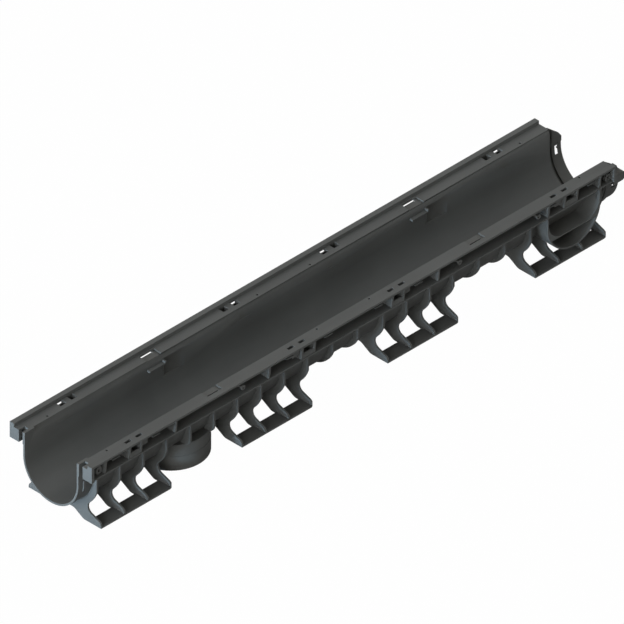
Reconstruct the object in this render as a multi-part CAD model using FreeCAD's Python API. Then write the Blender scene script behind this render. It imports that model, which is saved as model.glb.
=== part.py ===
import FreeCAD, Part
import os
from math import cos, radians, sin, sqrt, tan

os.makedirs("parts", exist_ok=True)
Vec = FreeCAD.Vector

# Plastic channel drain body, nominal width 100, one injection moulding.
# Working frame: X runs along the channel from the plug end of the rails, Y = 0 is the
# middle plane, Z = 0 is the grate seat. The finished body is moved to its base centre.

# ---- Driving dimensions, millimetres ------------------------------------------------

# Trough
grate_length = 500.0        # one grate; the rails carry two, end to end
grate_count = 2
bore_radius = 49.5          # half the clear width, and the radius of the round floor
wall = 3.0                  # trough wall
floor_axis_depth = 36.9     # axis of the round floor below the grate seat
base_depth = 112.3          # underside of the feet and of the outlet below the seat

# Rails: an open C section outside the trough, with a flanged upstand on its outer edge
seat_inner = 52.2           # inner edge of the grate seat from the middle plane
seat_outer = 70.0           # inner face of the upstand
lip_height = 2.5            # upright lip under the seat's inner edge
lip_taper = 4.5             # height of the taper from the lip down to the trough wall
upstand_height = 5.5
rail_half_width = 78.2
rail_skin = 3.0             # thickness of the seat and the upstand
haunch = 4.2                # thicker top of the trough wall, inside the C section
ledge_depth = 20.0          # underside of the C section's lower ledge
ledge_thickness = 2.0
ledge_half_width = 76.0

# Ribs and gussets
rib_thickness = 3.0
rib_half_width = 60.3       # upright outer edge of every rib
rib_ring_radius = 50.0      # rounded lower edge of a plain rib
rib_ring_swell = 2.7        # that circle reaches past the upright edge
rib_ring_depth = 34.2       # its centre below the seat
ribs_between_feet = 2
gusset_setback = 1.2        # front edge of a gusset behind the rail's outer edge
end_gusset = 27.6           # from the plug end
gusset_offsets = (-176.0, -154.2, -88.0, 152.4, 176.0)  # from the middle of each grate
first_grate_gusset = 90.0

# Feet: four legs on one flat sole, on each side
leg_pitch = 44.4
legs_per_foot = 4
first_foot = 27.0           # first leg from the plug end
last_foot_margin = 9.9      # last leg from the socket end of the rails
foot_before_middle = 204.6  # first leg of the second foot before the middle
foot_after_middle = 72.9    # first leg of the third foot after the middle
leg_ring_swell = 3.2        # a leg's curve round the floor axis, past its upright edge
waist_radius = 9.9          # hollow between that curve and the foot
instep_slope = 20.0         # fall of the foot's top edge, in degrees
foot_half_width = 69.1
toe_height = 8.3            # where that edge would meet the outer edge of the sole
toe_radius = 9.0
sole_width = 23.4
sole_thickness = 3.0
sole_overrun = 2.7          # past the last leg
sole_corner_radius = 8.0
arch_rise = 10.5            # underside of a leg below the trough, from the base
arch_half_width = 17.4      # where the level arch turns down
arch_foot_start = 35.8      # where it meets the sole
arch_radius = 12.0

# Outlet spigot under the trough, closed by the trough floor until that is cut out
outlet_x = 228.0
outlet_radius = 55.0        # for 110 mm pipe
outlet_wall = 3.2
outlet_land = 22.3          # the length that a pipe slides over, all below the trough
outlet_relief = 0.6         # the root above it is this much slimmer
outlet_top = 71.0           # its top, which meets the round of the trough, below the seat
outlet_rib_corner = 13.0    # rounding of the short ribs that stand on it

# Side outlet preform, a U-shaped collar on each side
collar_from_end = 78.0      # its axis from the socket end of the rails
collar_axis_depth = 39.1
collar_radius = 50.4
collar_wall = 2.2
collar_reach = 75.0
collar_shelf_drop = 20.8    # top of the shelf that divides it, below its axis
collar_shelf_thickness = 1.6
collar_corner_radius = 26.0

# Plug end
plug_flat_length = 19.0     # the trough wall runs straight to the top here
plug_notch_length = 11.5    # gap beside the wall for the next body's sleeve
plug_notch_outer = 60.7
ledge_notch_length = 17.5   # the same gap in the ledge
end_block_length = 5.0
latch_from_end = 9.0        # catch on the plug's outer wall
latch_length = 4.5
latch_height = 1.7
latch_top = 32.0
latch_bottom = 50.0

# Socket end: a sleeve that takes the next body's plug end
sleeve_length = 25.4
sleeve_clearance = 1.3      # past the trough wall; it just clears the thicker top
sleeve_wall = 2.2
sleeve_root = 3.0
seal_groove_start = 1.5
seal_groove_width = 6.0
seal_groove_depth = 2.0
seal_bead = 1.5             # raised band outside the groove
laying_gap = 5.3            # plug end face from the socket's shoulder when laid
sleeve_top_drop = 1.0       # top of the sleeve below the seat
sleeve_top_flat = 2.0
sleeve_shoulder_drop = 20.0 # its top slopes down to here at the open end
sleeve_shoulder_radius = 17.0
latch_play = 1.0            # window round the catch, each way
latch_tooth = 2.0           # small tooth in the window
latch_tooth_depth = 39.0
ear_start = 6.0
ear_top = 21.5
ear_bottom = 36.0
ear_reach = 66.0
ear_overhang = 2.0          # the ears pass the end of the sleeve
ear_corner_radius = 5.0

# Grate fixings on the seat, from the middle of each grate
station_offset = 155.0      # clip stations
slot_spacing = 20.8         # two slots at each station
slot_length = 10.6
slot_inner = 60.0
slot_outer = 70.6           # the slot runs a little under the upstand
blind_slot_depth = 9.0
blind_slot_wall = 1.6
mark_length = 22.0          # shallow recess in the trough wall beside the open slot
mark_slope = 5.0
mark_lead = 6.0             # it starts this far before the slot's middle
mark_top = 5.0
mark_bottom = 18.0
mark_depth = 0.6
pilot_offset = 200.0
pilot_y = 56.5
pilot_diameter = 3.5
station_front_depth = 10.0  # top of the plate that closes a clip station in front
station_front_thickness = 2.0
tab_offsets = (-202.0, -126.0, 129.0, 203.0)
tab_length = 14.0
tab_depth = 1.0             # top of a tab below the seat
tab_thickness = 1.2
tab_half_width = 77.5

# Grate lock, one per grate
lock_offset = -1.25         # middle of the seat recess from the grate's middle
lock_recess_length = 27.5
lock_recess_outer = 66.0
lock_recess_depth = 1.3
lock_slot_length = 20.5
lock_slot_shift = -2.0
lock_slot_inner = 61.5
lock_slot_outer = 67.5
lock_shelf_length = 31.0
lock_shelf_reach = 6.0
lock_shelf_depth = 12.5
lock_shelf_thickness = 3.0
lock_stop_length = 2.5
lock_stop_height = 3.0
scoop_length = 40.0         # hollow in the trough wall after the shelf
scoop_lead = 4.0            # its entry slope
scoop_run_out = 13.0        # its exit slope
scoop_depth = 3.4
scoop_top = 9.0
scoop_bottom = 38.0
scoop_wall = 2.4

# Bosses and eyelets in the C section, axis across the channel
plug_boss = (19.5, 10.2)    # from the plug end, and below the seat
socket_boss = (11.0, 12.0)  # from the socket end of the rails, and below the seat
end_boss_diameter = 12.4
end_boss_hole = 4.4
end_boss_reach = 72.5
eyelets = ((0, 44.0), (1, -43.0), (1, 107.0))  # grate, and offset from its middle
eyelet_diameter = 7.6
eyelet_hole = 3.2
eyelet_depth = 10.5
eyelet_thickness = 3.0
brace_width = 3.0
brace_run = 12.0

bite = 1.0                  # how far a rib runs into the wall that carries it
over = 1.0                  # how far a cutting shape runs past a face

# ---- Values that follow -------------------------------------------------------------

body_length = grate_length * grate_count
overall_length = body_length + sleeve_length + ear_overhang
outer_radius = bore_radius + wall
haunch_outer = bore_radius + haunch
sleeve_inner = outer_radius + sleeve_clearance
sleeve_outer = sleeve_inner + sleeve_wall
upstand_under = upstand_height - rail_skin
web_outer = seat_outer + rail_skin
ledge_top = ledge_depth - ledge_thickness
arch_depth = base_depth - arch_rise
rib_ring_y = rib_half_width + rib_ring_swell - rib_ring_radius
leg_ring_radius = rib_half_width + leg_ring_swell
sleeve_bead = sleeve_outer + seal_bead
collar_x = body_length - collar_from_end
foot_length = leg_pitch * (legs_per_foot - 1)
foot_starts = [
    first_foot,
    body_length / 2 - foot_before_middle,
    body_length / 2 + foot_after_middle,
    body_length - last_foot_margin - rib_thickness - foot_length,
]
grate_middles = [grate_length * (number + 0.5) for number in range(grate_count)]
end_bosses = [plug_boss, (body_length - socket_boss[0], socket_boss[1])]


# ---- Drawing helpers ----------------------------------------------------------------

def across(y, z):
    """A point of a cross-section."""
    return Vec(0, y, z)


def beside(x, z):
    """A point of a side view."""
    return Vec(x, 0, z)


def above(x, y):
    """A point of a plan view."""
    return Vec(x, y, 0)


def flat(point):
    """A point of a cross-section as its two numbers."""
    return point.y, point.z


def between(start, end, centre):
    """The middle of the short arc from one point to another round a centre."""
    way = (start - centre) + (end - centre)
    return centre + way.normalize() * start.distanceToPoint(centre)


def outline(view, *steps):
    """A closed flat face drawn in one of the three views, starting on a corner.

    A step is a corner (a, b), a rounded corner (a, b, radius), or an arc through
    its first point to its second ((a, b), (a, b)).
    """
    start = here = view(*steps[0])
    edges = []

    def line_to(point):
        if here.distanceToPoint(point) > 1e-6:
            edges.append(Part.LineSegment(here, point).toShape())
        return point

    for index, step in enumerate(steps[1:], 1):
        if isinstance(step[0], tuple):
            end = view(*step[1])
            edges.append(Part.Arc(here, view(*step[0]), end).toShape())
            here = end
        elif len(step) == 3:
            corner = view(*step[:2])
            after = steps[(index + 1) % len(steps)]
            back = (here - corner).normalize()
            ahead = (view(*after[:2]) - corner).normalize()
            half_angle = back.getAngle(ahead) / 2
            tangent = step[2] / tan(half_angle)
            sagitta = step[2] / sin(half_angle) - step[2]
            middle = corner + (back + ahead).normalize() * sagitta
            here = line_to(corner + back * tangent)
            end = corner + ahead * tangent
            edges.append(Part.Arc(here, middle, end).toShape())
            here = end
        else:
            here = line_to(view(*step))
    line_to(start)
    return Part.Face(Part.Wire(edges))


def run_x(face, start, end):
    return face.translated(Vec(start, 0, 0)).extrude(Vec(end - start, 0, 0))


def run_y(face, start, end):
    return face.translated(Vec(0, start, 0)).extrude(Vec(0, end - start, 0))


def run_z(face, start, end):
    return face.translated(Vec(0, 0, start)).extrude(Vec(0, 0, end - start))


def block(x, y, z):
    """A box between pairs of limits."""
    return Part.makeBox(x[1] - x[0], y[1] - y[0], z[1] - z[0], Vec(x[0], y[0], z[0]))


def peg(x, depth, diameter, y_start, y_end):
    """A round bar across the channel."""
    foot = Vec(x, y_start, -depth)
    return Part.makeCylinder(diameter / 2, y_end - y_start, foot, Vec(0, 1, 0))


def both_sides(shapes):
    """The shapes and their mirror images across the middle plane."""
    return shapes + [shape.mirror(Vec(0, 0, 0), Vec(0, 1, 0)) for shape in shapes]


def u_shape(radius, start, end, top=0):
    """A solid bar with the trough's U section; it ends level with the grate seat."""
    low = -floor_axis_depth
    face = outline(across, (radius, top), (radius, low), ((0, low - radius), (-radius, low)),
                   (-radius, top))
    return run_x(face, start, end)


# ---- Trough and rails ---------------------------------------------------------------

def channel():
    """Rails and the outside of the trough in one section, the bore still full."""
    half = [
        (seat_outer, 0),
        (seat_outer, upstand_height),
        (rail_half_width, upstand_height),
        (rail_half_width, upstand_under),
        (web_outer, upstand_under),
        (web_outer, -rail_skin),
        (haunch_outer, -rail_skin),
        (haunch_outer, -ledge_top),
        (ledge_half_width, -ledge_top),
        (ledge_half_width, -ledge_depth),
        (outer_radius, -ledge_depth),
        (outer_radius, -floor_axis_depth),
    ]
    other = [(-y, z) for y, z in reversed(half)]
    floor = ((0, -floor_axis_depth - outer_radius), other[0])
    return run_x(outline(across, *half, floor, *other[1:]), 0, body_length)


def bore():
    """The clear space of the trough, widened at its top to the seat."""
    lip = outline(across, (0, over), (seat_inner, over), (seat_inner, -lip_height),
                  (bore_radius, -lip_height - lip_taper), (0, -lip_height - lip_taper))
    lips = both_sides([run_x(lip, plug_flat_length, body_length + over)])
    return [u_shape(bore_radius, -over, overall_length, over)] + lips


# ---- Ribs, feet and gussets ---------------------------------------------------------

def rib(x, half):
    """A plate across the channel, from one half of its outline."""
    top = -(ledge_top + ledge_depth) / 2
    face = outline(across, (0, top), (rib_half_width, top), *half)
    return both_sides([run_x(face, x, x + rib_thickness)])


def plain_rib(x):
    low = -rib_ring_depth
    shoulder = low - sqrt(rib_ring_radius ** 2 - (rib_half_width - rib_ring_y) ** 2)
    diagonal = rib_ring_radius * sin(radians(45))
    arc = ((rib_ring_y + diagonal, low - diagonal), (rib_ring_y, low - rib_ring_radius))
    return rib(x, [(rib_half_width, shoulder), arc, (0, low - rib_ring_radius)])


def outlet_rib(x):
    low = -outlet_top - bite
    return rib(x, [(rib_half_width, low, outlet_rib_corner), (0, low)])


def leg(x):
    """A rib that spreads into a foot on each side, with an arch between the feet.

    The hollow above the foot is part of a circle. It touches the curve that runs round
    the trough and the sloping top of the foot.
    """
    slope = radians(instep_slope)
    axis = across(0, -floor_axis_depth)
    toe = across(foot_half_width, toe_height - base_depth)
    inward = across(-cos(slope), sin(slope))
    upward = across(sin(slope), cos(slope))
    start = toe + upward * waist_radius - axis
    spread = leg_ring_radius + waist_radius
    along = start.dot(inward)
    travel = -along - sqrt(along ** 2 - start.dot(start) + spread ** 2)
    waist = axis + start + inward * travel
    instep = waist - upward * waist_radius
    ring_start = across(rib_half_width,
                        -floor_axis_depth - sqrt(leg_ring_radius ** 2 - rib_half_width ** 2))
    ring_end = axis + (waist - axis) * (leg_ring_radius / spread)
    return rib(x, [
        flat(ring_start),
        (flat(between(ring_start, ring_end, axis)), flat(ring_end)),
        (flat(between(ring_end, instep, waist)), flat(instep)),
        (foot_half_width, toe_height - base_depth, toe_radius),
        (foot_half_width, -base_depth),
        (arch_foot_start, -base_depth, arch_radius),
        (arch_half_width, -arch_depth, arch_radius),
        (0, -arch_depth),
    ])


def sole_end(start):
    return start + foot_length + rib_thickness + sole_overrun


def sole(start):
    heel = foot_half_width - sole_width
    plate = block((start, sole_end(start)), (heel, foot_half_width),
                  (-base_depth, sole_thickness - base_depth))
    return both_sides([plate])


def toe_corner(start):
    """What rounds off the outer corner of the sole, in plan."""
    end = sole_end(start)
    centre = (end - sole_corner_radius, foot_half_width - sole_corner_radius)
    height = (-base_depth - over, -arch_depth + over)
    square = block((centre[0], end + over), (centre[1], foot_half_width + over), height)
    rounding = Part.makeCylinder(sole_corner_radius, height[1] - height[0],
                                 Vec(centre[0], centre[1], height[0]))
    return both_sides([square.cut(rounding)])


def gusset(x):
    """A web that fills the C section out to just behind the rail's edge."""
    low, high = -(ledge_top + ledge_depth) / 2, -rail_skin / 2
    face = outline(across, (haunch_outer - bite, low),
                   (ledge_half_width - gusset_setback, low),
                   (rail_half_width - gusset_setback, upstand_under + bite),
                   (seat_outer + bite, upstand_under + bite),
                   (seat_outer + bite, high), (haunch_outer - bite, high))
    return both_sides([run_x(face, x, x + rib_thickness)])


def gusset_positions():
    collar_walls = [collar_x - collar_radius, collar_x + collar_radius - rib_thickness]
    return [end_gusset, grate_middles[0] + first_grate_gusset] + collar_walls + [
        middle + offset for middle in grate_middles for offset in gusset_offsets]


def ribs_and_feet():
    shapes = []
    for start in foot_starts:
        for number in range(legs_per_foot):
            shapes += leg(start + leg_pitch * number)
        shapes += sole(start)
    for index, start in enumerate(foot_starts[1:]):
        last = foot_starts[index] + foot_length
        for number in range(1, ribs_between_feet + 1):
            x = last + (start - last) * number / (ribs_between_feet + 1)
            over_outlet = abs(x - outlet_x) < outlet_radius
            shapes += outlet_rib(x) if over_outlet else plain_rib(x)
    for x in gusset_positions():
        shapes += gusset(x)
    return shapes


# ---- Outlets ------------------------------------------------------------------------

def spigot():
    """The land that a pipe slides over, and the slimmer root above it."""
    foot = Vec(outlet_x, 0, -base_depth)
    return [Part.makeCylinder(outlet_radius, outlet_land, foot),
            Part.makeCylinder(outlet_radius - outlet_relief, base_depth - outlet_top, foot)]


def spigot_hollow():
    """The inside of the spigot, up to its top and the trough floor that closes it."""
    height = base_depth + over - outlet_top - outlet_wall
    inside = Part.makeCylinder(outlet_radius - outlet_wall, height,
                               Vec(outlet_x, 0, -base_depth - over))
    length = outlet_radius + over
    return inside.cut(u_shape(outer_radius, outlet_x - length, outlet_x + length))


def collar():
    """The side preform with its inside still full; it passes under the trough."""
    low = -collar_axis_depth
    left, right = collar_x - collar_radius, collar_x + collar_radius
    face = outline(beside, (left, -ledge_top), (left, low),
                   ((collar_x, low - collar_radius), (right, low)), (right, -ledge_top))
    return run_y(face, -collar_reach, collar_reach)


def collar_pockets():
    """The spaces above and below the collar's shelf, outside the trough."""
    inner = collar_radius - collar_wall
    left, right = collar_x - inner, collar_x + inner
    shelf = -collar_axis_depth - collar_shelf_drop
    upper = outline(beside, (left, -ledge_depth), (left, shelf, collar_corner_radius),
                    (right, shelf, collar_corner_radius), (right, -ledge_depth))
    under = shelf - collar_shelf_thickness
    half = sqrt(inner ** 2 - (under + collar_axis_depth) ** 2)
    arc = ((collar_x, -collar_axis_depth - inner), (collar_x + half, under))
    lower = outline(beside, (collar_x - half, under), arc)
    trough = u_shape(outer_radius, left - over, right + over)
    reach = collar_reach + over
    return [run_y(face, -reach, reach).cut(trough) for face in (upper, lower)]


# ---- Plug end and socket end --------------------------------------------------------

def end_block(start):
    """A solid end to the rail, to its full depth."""
    face = outline(across, (plug_notch_outer, 0), (seat_outer, 0),
                   (seat_outer, upstand_height), (rail_half_width, upstand_height),
                   (rail_half_width, -ledge_depth), (plug_notch_outer, -ledge_depth))
    return both_sides([run_x(face, start, start + end_block_length)])


def plug_notches():
    width = (haunch_outer, plug_notch_outer)
    seat = block((-over, plug_notch_length), width, (-ledge_depth - over, over))
    ledge = block((-over, ledge_notch_length), width, (-ledge_depth - over, -ledge_top))
    return both_sides([seat, ledge])


def latch():
    """A low catch on each side of the plug."""
    width = outer_radius + latch_height
    start, end = latch_from_end, latch_from_end + latch_length
    limits = block((start, end), (-width, width), (-latch_bottom, -latch_top))
    return u_shape(width, start, end).common(limits)


def sleeve():
    """The sleeve, with a raised band over its seal groove."""
    band = seal_groove_start + seal_groove_width + sleeve_wall / 2
    return [u_shape(sleeve_outer, body_length - sleeve_root, body_length + sleeve_length),
            u_shape(sleeve_bead, body_length, body_length + band)]


def sleeve_hollow():
    """The seat for the next plug, a seal groove behind it, and the cut-back corner."""
    end = body_length + sleeve_length
    groove = body_length + seal_groove_start
    plug_seat = u_shape(sleeve_inner, body_length, end + over, over)
    seal = u_shape(sleeve_inner + seal_groove_depth, groove, groove + seal_groove_width, over)
    top_end = body_length + sleeve_top_flat
    low = -sleeve_shoulder_drop - sleeve_shoulder_radius
    cut_back = outline(beside, (body_length, over), (body_length, -sleeve_top_drop),
                       (top_end, -sleeve_top_drop),
                       (end, -sleeve_shoulder_drop, sleeve_shoulder_radius),
                       (end, low), (end + over, low), (end + over, over))
    width = sleeve_bead + over
    return [plug_seat, seal, run_y(cut_back, -width, width)]


def latch_windows():
    start = body_length + laying_gap + latch_from_end - latch_play
    end = start + latch_length + 2 * latch_play
    width = (outer_radius, sleeve_outer + over)
    top, bottom = latch_play - latch_top, -latch_bottom - latch_play
    window = block((start, end), width, (bottom, top))
    tooth = block((end - latch_tooth, end), width,
                  (-latch_tooth_depth - latch_tooth, -latch_tooth_depth))
    return both_sides([window.cut(tooth)])


def ears():
    start, end = body_length + ear_start, overall_length
    face = outline(beside, (start, -ear_top), (end, -ear_top, ear_corner_radius),
                   (end, -ear_bottom, ear_corner_radius), (start, -ear_bottom))
    return both_sides([run_y(face, sleeve_inner + bite, ear_reach)])


# ---- Fixings along the rails --------------------------------------------------------

def slot_positions(sign):
    """Outer (sign 1) or inner (sign -1) slots of the clip stations."""
    reach = station_offset + sign * slot_spacing / 2
    return [middle + way * reach for middle in grate_middles for way in (-1, 1)]


def slot(x, depth):
    half = slot_length / 2
    return block((x - half, x + half), (slot_inner, slot_outer), (-depth, 0))


def blind_slot_box(x):
    half, skin = slot_length / 2 + blind_slot_wall, blind_slot_wall
    return block((x - half, x + half), (slot_inner - skin, slot_outer + skin),
                 (-blind_slot_depth - skin, -rail_skin / 2))


def pilot_positions():
    return [middle + way * pilot_offset for middle in grate_middles for way in (-1, 1)]


def pilot_hole(x):
    depth = rail_skin + over
    return Part.makeCylinder(pilot_diameter / 2, depth + over, Vec(x, pilot_y, -depth))


def station_front(start, end):
    """A low plate between the two outer gussets of a clip station."""
    front = ledge_half_width - gusset_setback
    return block((start, end), (front - station_front_thickness, front),
                 (-ledge_top - ledge_thickness / 2, -station_front_depth))


def station_fronts():
    offsets = gusset_offsets[:2] + gusset_offsets[-2:]
    return [station_front(middle + offsets[index], middle + offsets[index + 1] + rib_thickness)
            for middle in grate_middles for index in (0, 2)]


def eyelet_positions():
    return [grate_middles[number] + offset for number, offset in eyelets]


def tab(x):
    half = tab_length / 2
    return block((x - half, x + half), (web_outer - bite, tab_half_width),
                 (-tab_depth - tab_thickness, -tab_depth))


def brace(x):
    """A sloping arm from under the seat down to an eyelet."""
    top, half = x - brace_run, brace_width / 2
    face = outline(beside, (top - half, -rail_skin / 2), (top + half, -rail_skin / 2),
                   (x + half, -eyelet_depth), (x - half, -eyelet_depth))
    return run_y(face, web_outer - eyelet_thickness, web_outer)


def fixings():
    """Everything that stands under the seat inside the C section."""
    shapes = [blind_slot_box(x) for x in slot_positions(-1)] + station_fronts()
    shapes += [tab(middle + offset) for middle in grate_middles for offset in tab_offsets]
    shapes += [peg(x, depth, end_boss_diameter, haunch_outer - bite, end_boss_reach)
               for x, depth in end_bosses]
    shapes += [peg(x, eyelet_depth, eyelet_diameter, web_outer - eyelet_thickness, web_outer)
               for x in eyelet_positions()]
    shapes += [brace(x) for x in eyelet_positions()]
    return both_sides(shapes)


def fixing_holes():
    through = rail_skin + over
    shapes = [slot(x, through) for x in slot_positions(1)]
    shapes += [slot(x, blind_slot_depth) for x in slot_positions(-1)]
    shapes += [pilot_hole(x) for x in pilot_positions()]
    shapes += [peg(x, depth, end_boss_hole, plug_notch_outer, end_boss_reach + over)
               for x, depth in end_bosses]
    shapes += [peg(x, eyelet_depth, eyelet_hole, seat_outer - over, web_outer + over)
               for x in eyelet_positions()]
    shapes += [wall_hollow(x - mark_lead, mark_length, 0, mark_slope, mark_depth,
                           (mark_top, mark_bottom), bore_radius - over)
               for x in slot_positions(1)]
    return both_sides(shapes)


# ---- Grate lock ---------------------------------------------------------------------

def wall_hollow(start, length, lead, run_out, depth, levels, inside):
    """A shallow prism in the trough wall with sloping ends, between two levels."""
    end, back = start + length, bore_radius + depth
    face = outline(above, (start, inside), (start, bore_radius), (start + lead, back),
                   (end - run_out, back), (end, bore_radius), (end, inside))
    return run_z(face, -levels[1], -levels[0])


def lock_centres():
    return [middle + lock_offset for middle in grate_middles]


def lock_openings(centre):
    """The recess and the slot in the seat, and the hollow in the wall beside them."""
    half = lock_recess_length / 2
    recess = block((centre - half, centre + half), (seat_inner - over, lock_recess_outer),
                   (-lock_recess_depth, over))
    middle, half = centre + lock_slot_shift, lock_slot_length / 2
    slot_through = block((middle - half, middle + half), (lock_slot_inner, lock_slot_outer),
                         (-rail_skin - over, over))
    scoop = wall_hollow(centre + lock_shelf_length / 2, scoop_length, scoop_lead,
                        scoop_run_out, scoop_depth, (scoop_top, scoop_bottom),
                        bore_radius - over)
    return [recess, slot_through, scoop]


def scoop_back(centre):
    """The bulge outside the trough wall that backs the scoop."""
    skin = scoop_wall
    return wall_hollow(centre + lock_shelf_length / 2 - skin, scoop_length + 2 * skin,
                       scoop_lead, scoop_run_out, scoop_depth + skin,
                       (ledge_top, scoop_bottom + skin), bore_radius)


def lock_shelf(centre):
    """A shelf on the trough wall, with a small stop at its far end."""
    half, inside = lock_shelf_length / 2, bore_radius - lock_shelf_reach
    top, bottom = -lock_shelf_depth, -lock_shelf_depth - lock_shelf_thickness
    chamfer = lock_shelf_thickness / 2
    face = outline(across, (bore_radius + bite, top), (inside, top), (inside, top - chamfer),
                   (inside + chamfer, bottom), (bore_radius + bite, bottom))
    end = centre + half
    stop = block((end - lock_stop_length, end), (inside, bore_radius + bite),
                 (top - chamfer, top + lock_stop_height))
    return [run_x(face, centre - half, end), stop]


# ---- Body ---------------------------------------------------------------------------

def channel_body():
    added = spigot() + [collar(), latch()] + sleeve()
    added += ribs_and_feet() + end_block(0) + end_block(body_length - end_block_length)
    added += fixings() + both_sides([scoop_back(centre) for centre in lock_centres()])
    removed = bore() + collar_pockets() + [spigot_hollow()]
    removed += plug_notches() + sleeve_hollow() + latch_windows() + fixing_holes()
    for start in foot_starts:
        removed += toe_corner(start)
    for centre in lock_centres():
        removed += both_sides(lock_openings(centre))
    last = ears()
    for centre in lock_centres():
        last += both_sides(lock_shelf(centre))
    body = channel().multiFuse(added).cut(removed).multiFuse(last).removeSplitter()
    return body.translated(Vec(-overall_length / 2, 0, base_depth))


shape = channel_body()
if len(shape.Solids) != 1:
    raise ValueError("the body must be one solid")
shape.Solids[0].exportStep("parts/channel_body.step")
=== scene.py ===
import math

import bmesh
import bpy
from mathutils import Matrix, Vector


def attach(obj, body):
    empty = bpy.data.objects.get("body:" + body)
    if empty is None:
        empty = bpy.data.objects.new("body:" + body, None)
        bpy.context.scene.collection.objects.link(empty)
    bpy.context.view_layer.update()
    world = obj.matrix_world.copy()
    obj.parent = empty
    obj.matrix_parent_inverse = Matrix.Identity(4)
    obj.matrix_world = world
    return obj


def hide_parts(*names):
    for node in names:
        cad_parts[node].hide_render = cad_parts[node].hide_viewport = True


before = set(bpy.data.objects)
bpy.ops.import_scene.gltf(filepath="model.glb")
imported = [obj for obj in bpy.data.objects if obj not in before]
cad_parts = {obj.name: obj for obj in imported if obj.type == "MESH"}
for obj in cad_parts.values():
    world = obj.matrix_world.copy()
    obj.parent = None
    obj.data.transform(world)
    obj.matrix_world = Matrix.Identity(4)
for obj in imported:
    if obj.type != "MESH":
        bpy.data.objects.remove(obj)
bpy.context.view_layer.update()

MM = 0.001

# Channel body
SEAT_HEIGHT = 112.3 * MM        # grate seat above the soles
MERGE_DISTANCE = 0.002 * MM     # points closer than this are one
FLAT_ANGLE = 0.4                # faces closer to one plane than this are one face, degrees
SMOOTH_ANGLE = 35.0             # shading breaks at sharper edges than this, degrees
EDGE_ROUNDING = 0.3 * MM        # every moulded edge
EDGE_SEGMENTS = 2
EDGE_ANGLE = 40.0               # an edge is rounded from here on, degrees

# Places for the grate locks in the seat, the same on both rails
LOCK_CENTRES = (-264.95 * MM, 235.05 * MM)
RECESS_DEPTH = 1.3 * MM         # below the seat
RECESS_SLOPE = (9.0 * MM, 14.0 * MM)    # where its floor falls, from the middle of the lock
RECESS_END_DEPTH = 2.6 * MM     # at the end of that fall
SLOT_SHIFT = -2.0 * MM          # middle of the slot from the middle of the lock
SLOT_LENGTH = 20.5 * MM
GUIDE_SPAN = (60.5 * MM, 65.5 * MM)     # of the ledge under the slot, from the middle plane
GUIDE_LEVELS = (3.0 * MM, 4.4 * MM)     # top and underside of that ledge below the seat

# Plastic
CHARCOAL = (0.0685, 0.0715, 0.0685, 1)
CHARCOAL_PALE = (0.084, 0.0875, 0.084, 1)
DUST = (0.103, 0.106, 0.101, 1)
CLOUD_SIZE = 90 * MM
FLOW_SIZE = 14 * MM
FLOW_STRETCH = (0.12, 1, 1)     # flow marks run along the channel
GRAIN_SIZE = 0.7 * MM
SPECKLE_SIZE = 2.2 * MM
GRAIN_DEPTH = 0.02 * MM
FLOW_DEPTH = 0.05 * MM

# Studio: the lamps' columns are name, where the light comes from, strength, angle and colour
LAMPS = (
    ("window", (-1, 0, 0.15), 4.5, 60, (0.90, 0.94, 1.0)),
    ("window_side", (-1, -0.5, 0.15), 1.35, 60, (1.0, 0.97, 0.92)),
    ("end_light", (-1, 0, 0.05), 4.2, 10, (0.52, 0.76, 1.0)),
    ("far_fill", (0, 1, 0.5), 0.6, 70, (1.0, 1.0, 1.0)),
    ("end_fill", (1, 0, 0.5), 1.0, 70, (1.0, 1.0, 1.0)),
)
WORLD_COLOUR = (1.0, 0.94, 0.86, 1)
WORLD_STRENGTH = 0.27
FLOOR_COLOUR = (0.35, 0.35, 0.35, 1)
FLOOR_HALF_SIZE = 5.0
FLOOR_WHITE = 0.99              # the rest keeps the channel's shadow
WORLD_WHITE = 1.0

# Picture
VIEW_FROM = Vector((-1, -1, 1)).normalized()    # equal angles to all three axes
VIEW_TARGET = Vector((-40.15 * MM, -24.05 * MM, SEAT_HEIGHT))
VIEW_WIDTH = 840.3 * MM
VIEW_DISTANCE = 3.0


# ---- Shader maths -------------------------------------------------------------------

class Wire:
    """A number or colour on its way through a material; arithmetic adds Math nodes."""

    def __init__(self, finish, socket):
        self.finish = finish
        self.socket = socket

    def maths(self, operation, *values):
        return self.finish.node("ShaderNodeMath", {"operation": operation}, *values)

    def __add__(self, other):
        return self.maths("ADD", self, other)

    def __mul__(self, other):
        return self.maths("MULTIPLY", self, other)

    __radd__ = __add__
    __rmul__ = __mul__

    def rise(self, start, end):
        """0 below start, 1 above end, and a smooth rise between them."""
        return self.finish.node("ShaderNodeMapRange", {"interpolation_type": "SMOOTHSTEP"},
                                self, start, end, 0.0, 1.0)


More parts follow.
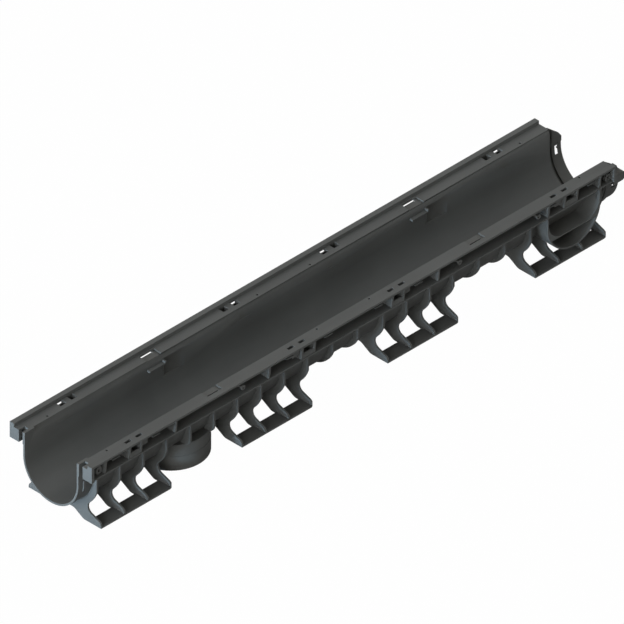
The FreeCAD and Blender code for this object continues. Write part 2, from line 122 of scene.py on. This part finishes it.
class Finish:
    """A material under construction."""

    def __init__(self, name):
        self.material = bpy.data.materials.new(name)
        self.material.use_nodes = True
        self.tree = self.material.node_tree
        self.shader = self.tree.nodes["Principled BSDF"]

    def node(self, kind, settings, *values, output=0, **named):
        """Adds a node, sets it up, feeds its sockets and returns one of its outputs."""
        node = self.tree.nodes.new(kind)
        for name, value in settings.items():
            setattr(node, name, value)
        for key, value in list(enumerate(values)) + list(named.items()):
            self.feed(node.inputs[key], value)
        return Wire(self, node.outputs[output])

    def feed(self, socket, value):
        if isinstance(value, Wire):
            self.tree.links.new(value.socket, socket)
        elif value is not None:
            socket.default_value = value

    def set(self, **values):
        """Feeds the shader's sockets; an underscore stands for a space."""
        for name, value in values.items():
            self.feed(self.shader.inputs[name.replace("_", " ")], value)

    def place(self):
        return self.node("ShaderNodeTexCoord", {}, output="Object")

    def noise(self, place, size, detail=2.0, roughness=0.5):
        """Noise around 0.5, with features of about one size in metres."""
        return self.node("ShaderNodeTexNoise", {}, Vector=place, Scale=1 / size,
                         Detail=detail, Roughness=roughness)

    def mix(self, share, first, second):
        """A colour between two colours."""
        return self.node("ShaderNodeMix", {"data_type": "RGBA"}, share, None, None, None, None,
                         None, first, second, output=2)

    def bumps(self, *layers):
        """Bump nodes one after another, each a height in 0..1 and its depth in metres."""
        normal = None
        for height, depth in layers:
            normal = self.node("ShaderNodeBump", {}, Strength=1.0, Distance=depth,
                               Height=height, Normal=normal)
        return normal


# ---- Plastic ------------------------------------------------------------------------

def charcoal_plastic():
    """Charcoal polypropylene, matt from the mould, with faint flow marks and dust."""
    finish = Finish("charcoal_plastic")
    place = finish.place()
    cloud = finish.noise(place, CLOUD_SIZE, 3.0)
    flow = finish.noise(finish.node("ShaderNodeMapping", {}, place, Scale=FLOW_STRETCH),
                        FLOW_SIZE, 3.0, 0.6)
    grain = finish.noise(place, GRAIN_SIZE)
    speckle = finish.noise(place, SPECKLE_SIZE, 3.0, 0.7)
    tone = (cloud * 0.6 + flow * 0.4).rise(0.3, 0.7)
    colour = finish.mix(tone, CHARCOAL, CHARCOAL_PALE)
    colour = finish.mix(speckle.rise(0.62, 0.75) * 0.35, colour, DUST)
    finish.set(Base_Color=colour, Roughness=0.5 + 0.16 * flow + 0.08 * grain,
               Normal=finish.bumps((grain, GRAIN_DEPTH), (flow, FLOW_DEPTH)))
    return finish.material


# ---- Channel body -------------------------------------------------------------------

def add_piece(name, form, finish):
    """A finished piece of the body from its bmesh."""
    mesh = bpy.data.meshes.new(name)
    form.to_mesh(mesh)
    form.free()
    mesh.materials.append(finish)
    piece = bpy.data.objects.new(name, mesh)
    bpy.context.collection.objects.link(piece)
    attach(piece, "root")
    return piece


def round_edges(piece):
    edges = piece.modifiers.new("edges", "BEVEL")
    edges.width = EDGE_ROUNDING
    edges.segments = EDGE_SEGMENTS
    edges.limit_method = "ANGLE"
    edges.angle_limit = math.radians(EDGE_ANGLE)


def slope_lock_recesses(form):
    """Lets the floor of each lock recess fall towards its far end."""
    floor = SEAT_HEIGHT - RECESS_DEPTH
    for centre in LOCK_CENTRES:
        start, end = (centre + reach for reach in RECESS_SLOPE)
        bmesh.ops.bisect_plane(form, geom=[*form.verts, *form.edges, *form.faces],
                               dist=MERGE_DISTANCE, plane_co=(start, 0, 0), plane_no=(1, 0, 0))
        for vertex in form.verts:
            if abs(vertex.co.z - floor) < MERGE_DISTANCE and \
                    start + MERGE_DISTANCE < vertex.co.x < end:
                vertex.co.z = SEAT_HEIGHT - RECESS_END_DEPTH


def lock_guides(finish):
    """A small ledge under the inner edge of each lock slot."""
    form = bmesh.new()
    inner, outer = GUIDE_SPAN
    top, underside = GUIDE_LEVELS
    size = Matrix.Diagonal((SLOT_LENGTH, outer - inner, underside - top, 1))
    for centre in LOCK_CENTRES:
        for side in (-1, 1):
            place = Vector((centre + SLOT_SHIFT, side * (inner + outer) / 2,
                            SEAT_HEIGHT - (top + underside) / 2))
            bmesh.ops.create_cube(form, size=1, matrix=Matrix.Translation(place) @ size)
    round_edges(add_piece("lock_guides", form, finish))


def moulded_body(node, finish):
    """The body with merged faces and a small rounding along its edges."""
    form = bmesh.new()
    form.from_mesh(node.data)
    bmesh.ops.remove_doubles(form, verts=form.verts, dist=MERGE_DISTANCE)
    slope_lock_recesses(form)
    bmesh.ops.dissolve_limit(form, angle_limit=math.radians(FLAT_ANGLE), verts=form.verts,
                             edges=form.edges)
    for face in form.faces:
        face.smooth = True
    for edge in form.edges:
        edge.smooth = edge.calc_face_angle(math.pi) < math.radians(SMOOTH_ANGLE)
    body = add_piece("channel_moulding", form, finish)
    round_edges(body)
    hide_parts("channel_body")


# ---- Studio -------------------------------------------------------------------------

def add_camera():
    data = bpy.data.cameras.new("camera")
    data.type = "ORTHO"
    data.ortho_scale = VIEW_WIDTH
    data.clip_end = 20
    camera = bpy.data.objects.new("camera", data)
    bpy.context.collection.objects.link(camera)
    camera.location = VIEW_TARGET + VIEW_FROM * VIEW_DISTANCE
    camera.rotation_euler = (-VIEW_FROM).to_track_quat("-Z", "Y").to_euler()
    bpy.context.scene.camera = camera


def add_sun(name, towards, strength, angle, colour):
    """A broad soft light; the direction is the one that it comes from."""
    data = bpy.data.lights.new(name, "SUN")
    data.energy = strength
    data.angle = math.radians(angle)
    data.color = colour
    lamp = bpy.data.objects.new(name, data)
    bpy.context.collection.objects.link(lamp)
    lamp.rotation_euler = Vector(towards).to_track_quat("Z", "Y").to_euler()


def add_lamps():
    for lamp in LAMPS:
        add_sun(*lamp)


def white_for_camera(tree, seen_by_others, output, share):
    """Mixes white over a shader or background, for camera rays alone."""
    white = tree.nodes.new("ShaderNodeEmission")
    rays = tree.nodes.new("ShaderNodeLightPath")
    amount = tree.nodes.new("ShaderNodeMath")
    amount.operation = "MULTIPLY"
    amount.inputs[1].default_value = share
    mix = tree.nodes.new("ShaderNodeMixShader")
    tree.links.new(rays.outputs["Is Camera Ray"], amount.inputs[0])
    tree.links.new(amount.outputs[0], mix.inputs[0])
    tree.links.new(seen_by_others, mix.inputs[1])
    tree.links.new(white.outputs[0], mix.inputs[2])
    tree.links.new(mix.outputs[0], output.inputs["Surface"])


def add_world():
    world = bpy.data.worlds.new("studio")
    bpy.context.scene.world = world
    world.use_nodes = True
    nodes = world.node_tree.nodes
    nodes["Background"].inputs["Color"].default_value = WORLD_COLOUR
    nodes["Background"].inputs["Strength"].default_value = WORLD_STRENGTH
    white_for_camera(world.node_tree, nodes["Background"].outputs[0], nodes["World Output"],
                     WORLD_WHITE)


def add_floor():
    mesh = bpy.data.meshes.new("floor")
    form = bmesh.new()
    bmesh.ops.create_grid(form, x_segments=1, y_segments=1, size=FLOOR_HALF_SIZE)
    form.to_mesh(mesh)
    form.free()
    floor = bpy.data.objects.new("floor", mesh)
    bpy.context.collection.objects.link(floor)
    finish = Finish("pale_floor")
    finish.set(Base_Color=FLOOR_COLOUR, Roughness=1.0, Specular_IOR_Level=0.0)
    white_for_camera(finish.tree, finish.shader.outputs[0],
                     finish.tree.nodes["Material Output"], FLOOR_WHITE)
    mesh.materials.append(finish.material)


plastic = charcoal_plastic()
moulded_body(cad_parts["channel_body"], plastic)
lock_guides(plastic)
add_floor()
add_world()
add_lamps()
add_camera()
bpy.context.scene.view_settings.view_transform = "Standard"
